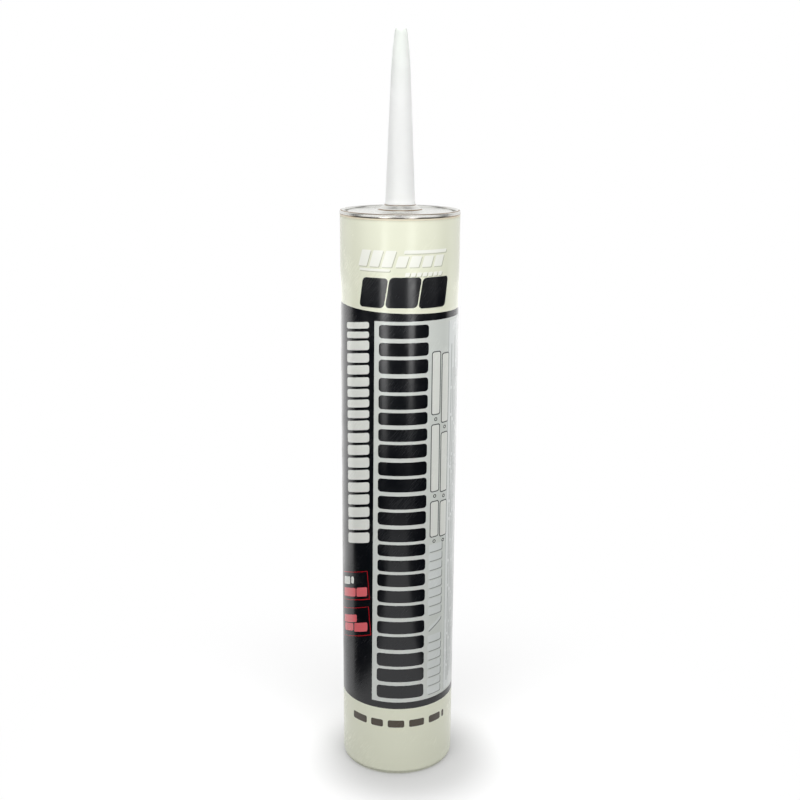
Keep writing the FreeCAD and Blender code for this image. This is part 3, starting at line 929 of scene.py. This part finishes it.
lines = []
heads = []
for side in (-1, 1):
    head_edges = sorted((side * INNER, side * (OUTER + HEAD_SHORTER)))
    heads.append(flat_block(*head_edges, *HEAD_SPAN, HEAD_ROUNDING))
    for number in range(LINE_COUNT):
        place = number % PARAGRAPH
        if place == PARAGRAPH - 1:
            continue
        # a paragraph's last line ends well short, and the others end a little unevenly
        last = place == PARAGRAPH - 2
        short = 4.0 * ((number * 5 + (1 + side) * 2) % 6) if last else 1.2 * ((number * 3) % 4)
        edges = (INNER, OUTER + short) if side > 0 else (-INNER + short, -OUTER)
        height = LINES_FROM - number * LINE_PITCH
        lines.append(flat_block(*sorted(edges), height, height + LINE_HEIGHT, LINE_ROUNDING))
print_shapes(heads, "back_heads", black)
print_shapes(lines, "back_lines", outline_grey)

# %% [markdown]
# ## The pressed end
#
# The end is tinplate: thin steel with a bright tin coat, pressed and rolled over the tube's edge. The eye
# gets a bright rounded roll that mirrors the room in narrow bands, with a skirt below it in the label's own
# cream lacquer. Thin brown lines of painted shade run under the roll, along its crest, on the boss's step and
# round the nozzle's foot, and faint brown stains lie here and there. The outline is drawn as one face, its
# corners are rounded with a vertex bevel, and the remaining edges are spun round the axis, as a lathe or a
# spinning chuck would form it.

# %% Turning an outline


def turned_outline(corners, steps):
    """Spins a closed outline round the axis. Each corner is a radius, a height and a rounding in mm."""
    bm = bmesh.new()
    verts = [bm.verts.new((radius * MM, 0, height * MM)) for radius, height, rounding in corners]
    bm.faces.new(verts)
    for vert, (radius, height, rounding) in zip(verts, corners):
        if rounding:
            bmesh.ops.bevel(bm, geom=[vert], offset=rounding * MM, affect="VERTICES", segments=5,
                            profile=0.5, material=-1)
    bmesh.ops.delete(bm, geom=list(bm.faces), context="FACES_ONLY")
    bmesh.ops.spin(bm, geom=[*bm.verts, *bm.edges], cent=(0, 0, 0), axis=(0, 0, 1), angle=2 * math.pi,
                   steps=steps, use_merge=True)
    return bm


# %% Tinplate
TIN = "#d8d8d4"
# brown of the faint random stains on the tin, and of the thin lines of painted shade
STAIN_AND_SHADE_BROWN = "#8f7a60"
PRESS_GRAIN = 2.5 * MM
STAIN_SIZE = 9 * MM
LACQUER_GRAIN = 1.5 * MM
# thin lines of painted shade in that brown: round the nozzle's foot, on the boss's step, along the roll's
# crest and under the roll
PAINTED_SHADE_LINES = [
    # inner radius, outer radius, lowest and highest point in mm
    (8.0, 8.75, 332.15, 333.0),
    (11.1, 12.3, 329.2, 330.15),
    (32.2, 34.0, 329.45, 330.0),
    (31.5, 34.0, 327.2, 327.85),
]

# bright metal, a little uneven from the press, so that the room breaks up in it
tinplate, tree, shader = start_material("bright pressed tinplate", TIN, 0.26, Metallic=0.9)
place = add_node(tree, "ShaderNodeTexCoord")
axes = add_node(tree, "ShaderNodeSeparateXYZ", {0: place.outputs["Object"]})
level = add_node(tree, "ShaderNodeCombineXYZ", {"X": axes.outputs["X"], "Y": axes.outputs["Y"]})
radius = add_node(tree, "ShaderNodeVectorMath", {0: level.outputs[0]}, operation="LENGTH")
grain = add_node(tree, "ShaderNodeTexNoise", {
    "Vector": place.outputs["Object"], "Scale": 1 / PRESS_GRAIN, "Detail": 3.0, "Roughness": 0.55})
bump = add_node(tree, "ShaderNodeBump", {
    "Height": grain.outputs["Fac"], "Strength": 0.25, "Distance": 0.12 * MM})
tree.links.new(bump.outputs[0], shader.inputs["Normal"])
stain = add_node(tree, "ShaderNodeTexNoise", {
    "Vector": place.outputs["Object"], "Scale": 1 / STAIN_SIZE, "Detail": 2.0})
# share of brown in the tin: faint random stains, then the lines of painted shade added on top
lacquer = add_node(tree, "ShaderNodeMapRange", {
    "Value": stain.outputs["Fac"], "From Min": 0.55, "From Max": 0.75, "To Min": 0.0, "To Max": 0.16})
# each line of painted shade is a ring between two radii and two heights
for inner, outer, low, high in PAINTED_SHADE_LINES:
    across = add_node(tree, "ShaderNodeMath", {
        0: radius.outputs["Value"], 1: (inner + outer) / 2 * MM, 2: (outer - inner) / 2 * MM},
        operation="COMPARE")
    upright = add_node(tree, "ShaderNodeMath", {
        0: axes.outputs["Z"], 1: (low + high) / 2 * MM, 2: (high - low) / 2 * MM}, operation="COMPARE")
    line = add_node(tree, "ShaderNodeMath", {0: across.outputs[0], 1: upright.outputs[0]},
                    operation="MULTIPLY")
    lacquer = add_node(tree, "ShaderNodeMath", {0: lacquer.outputs[0], 1: line.outputs[0]},
                       operation="MAXIMUM")
tint = add_node(tree, "ShaderNodeMix", {
    "Factor": lacquer.outputs[0], 6: srgb(TIN), 7: srgb(STAIN_AND_SHADE_BROWN)}, data_type="RGBA")
tree.links.new(tint.outputs[2], shader.inputs["Base Color"])

# a thin warm coat with a soft gloss, which makes the skirt look like part of the label
lacquered, tree, shader = start_material("cream lacquer on tinplate", "#e4dcc4", 0.35)
place = add_node(tree, "ShaderNodeTexCoord")
brushed = add_node(tree, "ShaderNodeTexNoise", {
    "Vector": place.outputs["Object"], "Scale": 1 / LACQUER_GRAIN, "Detail": 3.0})
bump = add_node(tree, "ShaderNodeBump", {
    "Height": brushed.outputs["Fac"], "Strength": 0.2, "Distance": 0.05 * MM})
tree.links.new(bump.outputs[0], shader.inputs["Normal"])

# %% The end
SKIRT_TOP = 327.4
SKIRT_RADIUS = 32.9
END_STEPS = 256
END_OUTLINE = [
    # upper side from the nozzle outwards: collar, boss, panel, groove, roll and skirt
    (8.05, 332.5, 0.1), (8.55, 332.5, 0.2), (8.65, 332.15, 0.1), (9.3, 332.1, 0.3), (11.2, 330.3, 0.25),
    (11.4, 329.5, 0.1), (12.3, 329.45, 0.25), (14.2, 328.9, 0.8), (28.95, 328.9, 0.55), (28.95, 327.2, 0.55),
    (30.65, 327.2, 0.55), (30.65, 329.8, 1.0), (33.15, 329.8, 1.2), (33.15, 327.5, 0.7),
    (32.98, SKIRT_TOP, 0.0), (33.02, 326.4, 0.12), (32.87, 326.4, 0.1),
    # under side, back to the nozzle
    (32.85, 329.1, 0.7), (30.95, 329.1, 0.7), (30.95, 326.9, 0.8), (28.65, 326.9, 0.8), (28.65, 328.6, 0.3),
    (13.9, 328.6, 0.6), (8.99, 331.9, 0.3), (8.05, 331.9, 0.0),
]
end = turned_outline(END_OUTLINE, END_STEPS)
for face in end.faces:
    middle = face.calc_center_median()
    if middle.z < SKIRT_TOP * MM and middle.xy.length > SKIRT_RADIUS * MM:
        face.material_index = 1
finish_piece(end, "pressed_end", [tinplate, lacquered], "cartridge", ["metal_end"])

# %% [markdown]
# ## The nozzle
#
# The nozzle is low density polyethylene, moulded without colour: a milky, slightly see-through white with a
# waxy sheen. Light enters it and comes out softened, so its shaded side stays bright. Subsurface scattering
# gives that on the solid from the CAD file, which already has the right shape.

# %% Milky polyethylene
MILK = "#f6faf5"
# painted shade: towards the solid tip less light comes through, so its colour is painted a little darker
SHADED_TIP_MILK = "#d6dbd5"
TIP_SHADE_START = 385 * MM
TIP_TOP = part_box("nozzle")[1].z
LIGHT_REACH = 4.5 * MM
FLOW_SIZE = 3.0 * MM

nozzle_plastic, tree, shader = start_material(
    "natural low density polyethylene", MILK, 0.42, IOR=1.51, Subsurface_Weight=0.85,
    Subsurface_Scale=LIGHT_REACH)
shader.inputs["Subsurface Radius"].default_value = (1.0, 1.0, 1.0)
place = add_node(tree, "ShaderNodeTexCoord")
axes = add_node(tree, "ShaderNodeSeparateXYZ", {0: place.outputs["Object"]})
# share of painted shade, growing from where the tip's shade starts up to the tip
tip_shade_share = add_node(tree, "ShaderNodeMapRange", {
    "Value": axes.outputs["Z"], "From Min": TIP_SHADE_START, "From Max": TIP_TOP},
    interpolation_type="SMOOTHSTEP")
milk = add_node(tree, "ShaderNodeMix", {
    "Factor": tip_shade_share.outputs[0], 6: srgb(MILK), 7: srgb(SHADED_TIP_MILK)}, data_type="RGBA")
tree.links.new(milk.outputs[2], shader.inputs["Base Color"])
flow = add_node(tree, "ShaderNodeTexNoise", {
    "Vector": place.outputs["Object"], "Scale": 1 / FLOW_SIZE, "Detail": 2.0})
bump = add_node(tree, "ShaderNodeBump", {
    "Height": flow.outputs["Fac"], "Strength": 0.2, "Distance": 0.05 * MM})
tree.links.new(bump.outputs[0], shader.inputs["Normal"])


def dress(node_name, material):
    """Gives a CAD node its finish."""
    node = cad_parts[node_name]
    node.data.materials.clear()
    node.data.materials.append(material)
    print("dressed", node_name, "in", material.name)


dress("nozzle", nozzle_plastic)

# %% [markdown]
# ## The board tube
#
# The tube is wound from strips of kraft board on a slant and glued, with a cream outer ply. It shows as
# cream round the curled bottom edge, and as brown board with slanting seams inside. The finish reads the
# place on the tube: outside the curl it is cream, elsewhere it is board, with a seam every 70 mm of height.

# %% Wound board
# the cream ply shows outside the bore, and in the curl down to this radius and up to this height
CURL_RADIUS = 30.3 * MM
CURL_HEIGHT = 1.2 * MM
CURL_SOFT_EDGE = 0.2 * MM
WALL_RADIUS = 31.2 * MM
PLY_PITCH = 70 * MM
SEAM_WIDTH = 0.7 * MM
FIBRE_SIZE = 1.2 * MM

board, tree, shader = start_material("wound kraft board with a cream outer ply", "#b59a76", 0.75)
place = add_node(tree, "ShaderNodeTexCoord")
axes = add_node(tree, "ShaderNodeSeparateXYZ", {0: place.outputs["Object"]})
level = add_node(tree, "ShaderNodeCombineXYZ", {"X": axes.outputs["X"], "Y": axes.outputs["Y"]})
radius = add_node(tree, "ShaderNodeVectorMath", {0: level.outputs[0]}, operation="LENGTH")
outside = add_node(tree, "ShaderNodeMapRange", {
    "Value": radius.outputs["Value"], "From Min": CURL_RADIUS, "From Max": CURL_RADIUS + CURL_SOFT_EDGE})
low_enough = add_node(tree, "ShaderNodeMath", {0: axes.outputs["Z"], 1: CURL_HEIGHT}, operation="LESS_THAN")
not_bore = add_node(tree, "ShaderNodeMath", {0: radius.outputs["Value"], 1: WALL_RADIUS},
                    operation="GREATER_THAN")
curl = add_node(tree, "ShaderNodeMath", {0: low_enough.outputs[0], 1: not_bore.outputs[0]},
                operation="MAXIMUM")
cream_here = add_node(tree, "ShaderNodeMath", {0: outside.outputs[0], 1: curl.outputs[0]},
                      operation="MULTIPLY")
angle = add_node(tree, "ShaderNodeMath", {0: axes.outputs["Y"], 1: axes.outputs["X"]}, operation="ARCTAN2")
climb = add_node(tree, "ShaderNodeMath", {0: angle.outputs[0], 1: PLY_PITCH / (2 * math.pi)},
                 operation="MULTIPLY")
spiral = add_node(tree, "ShaderNodeMath", {0: axes.outputs["Z"], 1: climb.outputs[0]}, operation="SUBTRACT")
turns = add_node(tree, "ShaderNodeMath", {0: spiral.outputs[0], 1: PLY_PITCH, 2: 0.0}, operation="WRAP")
seam = add_node(tree, "ShaderNodeMath", {0: turns.outputs[0], 1: SEAM_WIDTH}, operation="LESS_THAN")
fibres = add_node(tree, "ShaderNodeTexNoise", {
    "Vector": place.outputs["Object"], "Scale": 1 / FIBRE_SIZE, "Detail": 5.0, "Roughness": 0.7})
kraft = add_node(tree, "ShaderNodeMix", {
    "Factor": fibres.outputs["Fac"], 6: srgb("#8f7553"), 7: srgb("#c4ab85")}, data_type="RGBA")
seamed = add_node(tree, "ShaderNodeMix", {
    "Factor": seam.outputs[0], 6: kraft.outputs[2], 7: srgb("#6d583d")}, data_type="RGBA")
ply = add_node(tree, "ShaderNodeMix", {
    "Factor": cream_here.outputs[0], 6: seamed.outputs[2], 7: srgb("#e6e8d3")}, data_type="RGBA")
tree.links.new(ply.outputs[2], shader.inputs["Base Color"])
bump = add_node(tree, "ShaderNodeBump", {
    "Height": fibres.outputs["Fac"], "Strength": 0.3, "Distance": 0.05 * MM})
tree.links.new(bump.outputs[0], shader.inputs["Normal"])
dress("fibre_tube", board)

# %% [markdown]
# ## Plunger, seal and sealant
#
# The plunger is moulded polyethylene, white and a little duller than the nozzle. The seal under the nozzle
# is foil. The sealant is a smooth pale paste, a piece of its own: a plain cylinder as wide and as high as
# the sealant in the CAD file, which it replaces.

# %% Plunger and seal
MOULD_GRAIN = 2.0 * MM
plunger_plastic, tree, shader = start_material("white moulded polyethylene", "#e4e5e0", 0.45, IOR=1.51)
place = add_node(tree, "ShaderNodeTexCoord")
flow = add_node(tree, "ShaderNodeTexNoise", {
    "Vector": place.outputs["Object"], "Scale": 1 / MOULD_GRAIN, "Detail": 3.0})
bump = add_node(tree, "ShaderNodeBump", {
    "Height": flow.outputs["Fac"], "Strength": 0.15, "Distance": 0.04 * MM})
tree.links.new(bump.outputs[0], shader.inputs["Normal"])
dress("plunger", plunger_plastic)
foil = start_material("bright aluminium foil", "#dcdcdc", 0.25, Metallic=1.0)[0]
dress("nozzle_seal", foil)

# %% Sealant
fill_low, fill_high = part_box("sealant")
FILL_HEIGHT = fill_high.z - fill_low.z

paste = start_material("smooth sealant paste", "#e3e2da", 0.35, IOR=1.45)[0]
fill = bmesh.new()
bmesh.ops.create_cone(fill, cap_ends=True, segments=96, radius1=fill_high.x, radius2=fill_high.x,
                      depth=FILL_HEIGHT)
bmesh.ops.translate(fill, vec=(0, 0, (fill_low.z + fill_high.z) / 2), verts=fill.verts)
sealant_fill = finish_piece(fill, "sealant_fill", [paste], "cartridge", ["sealant"])
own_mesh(sealant_fill)
